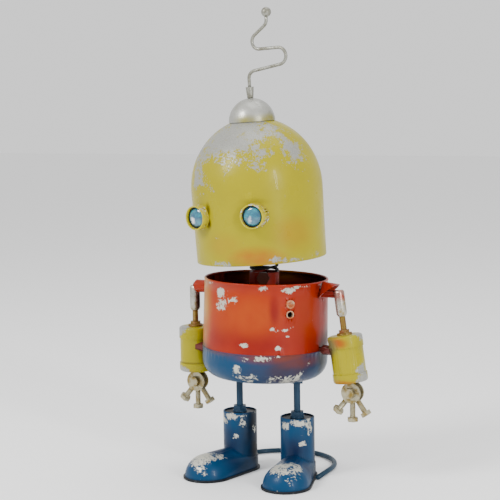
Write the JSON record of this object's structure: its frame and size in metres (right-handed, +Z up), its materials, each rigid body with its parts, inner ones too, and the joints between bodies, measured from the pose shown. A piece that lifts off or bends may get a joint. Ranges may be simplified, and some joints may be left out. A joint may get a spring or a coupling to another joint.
{
  "type": "robot figure",
  "caption": "Standing sheet-metal robot figure whose domed head sways on a coil spring above an open drum body, with welded bolt hands and boots.",
  "frame": {"origin": "under the middle of the figure, on the floor", "axes": "+Z up, -Y the way the boots point, +X the robot's own left"},
  "size_m": [0.2214, 0.1574, 0.4686],
  "materials": {
    "head_paint": "worn satin",
    "cap_metal": "brushed, sprayed at the edge",
    "antenna_steel": "satin",
    "eye_tube_paint": "worn satin",
    "eye_black": "matte",
    "eye_glass": "polished",
    "bare_steel": "dull",
    "spring_black": "satin",
    "collar_red": "satin",
    "bolt_dark": "satin",
    "trunk_paint": "worn satin",
    "pan_paint": "worn satin",
    "chest_ring": "worn",
    "sleeve_steel": "satin",
    "rod_rust": "rusty",
    "forearm_paint": "worn satin",
    "stay_red": "satin",
    "hand_zinc": "zinc with ochre shading",
    "leg_blue": "satin",
    "boot_blue": "worn satin",
    "boot_black": "satin",
    "hoop_blue": "satin"
  },
  "bodies": {
    "trunk": {"neck_collar": "collar_red", "collar_bolt": "bolt_dark", "body_shell": "trunk_paint", "body_pan": "pan_paint", "chest_button": "chest_ring", "chest_grommet": "chest_ring", "shoulder_bar": "collar_red", "shoulder_cup_left": "trunk_paint", "shoulder_collar_right": "trunk_paint", "arm_sleeve_left": "sleeve_steel", "arm_sleeve_right": "sleeve_steel", "forearm_rod_left": "rod_rust", "forearm_rod_right": "rod_rust", "forearm_nut_left": "rod_rust", "forearm_nut_right": "rod_rust", "forearm_can_left": "forearm_paint", "forearm_can_right": "forearm_paint", "forearm_top_cap_left": "forearm_paint", "forearm_top_cap_right": "forearm_paint", "forearm_bottom_cap_left": "forearm_paint", "forearm_bottom_cap_right": "forearm_paint", "stay_bolt_left": "stay_red", "stay_bolt_right": "stay_red", "hand_washers_left": "hand_zinc", "hand_washers_right": "hand_zinc", "hand_bolt_left": "hand_zinc", "hand_bolt_right": "hand_zinc", "finger_bolts_left": "hand_zinc", "finger_bolts_right": "hand_zinc", "leg_rod_left": "leg_blue", "leg_rod_right": "leg_blue", "leg_nuts_left": "leg_blue", "leg_nuts_right": "leg_blue", "boot_plate_left": "boot_black", "boot_plate_right": "boot_black", "boot_shaft_left": "boot_blue", "boot_shaft_right": "boot_blue", "boot_shoe_left": "boot_blue", "boot_shoe_right": "boot_blue", "boot_sole_left": "boot_black", "boot_sole_right": "boot_black", "support_hoop": "hoop_blue"},
    "spring": {"neck_spring": "spring_black"},
    "head": {"head_skirt": "head_paint", "head_dome": "head_paint", "head_cap": "cap_metal", "antenna_socket": "antenna_steel", "antenna_nut": "antenna_steel", "antenna_wire": "antenna_steel", "antenna_ball": "antenna_steel", "eye_tube_left": "eye_tube_paint", "eye_tube_right": "eye_tube_paint", "eye_cup_left": "eye_black", "eye_cup_right": "eye_black", "eye_glass_left": "eye_glass", "eye_glass_right": "eye_glass", "head_crossbar": "bare_steel", "upper_collar": "bare_steel", "upper_collar_bolt": "bare_steel"}
  },
  "joints": [
    {"name": "head_nod", "type": "hinge", "parent": "trunk", "child": "spring", "pos_m": [-0.00758, -0.0064, 0.2193], "axis": [1, 0, 0], "range_deg": [-7, 7], "stiffness_Nm_per_rad": 1.2, "deforming": ["neck_spring"]},
    {"name": "head_tilt", "type": "hinge", "parent": "spring", "child": "head", "pos_m": [-0.00894, -0.00744, 0.2307], "axis": [0, 1, 0], "range_deg": [-7, 7], "stiffness_Nm_per_rad": 1.2}
  ]
}
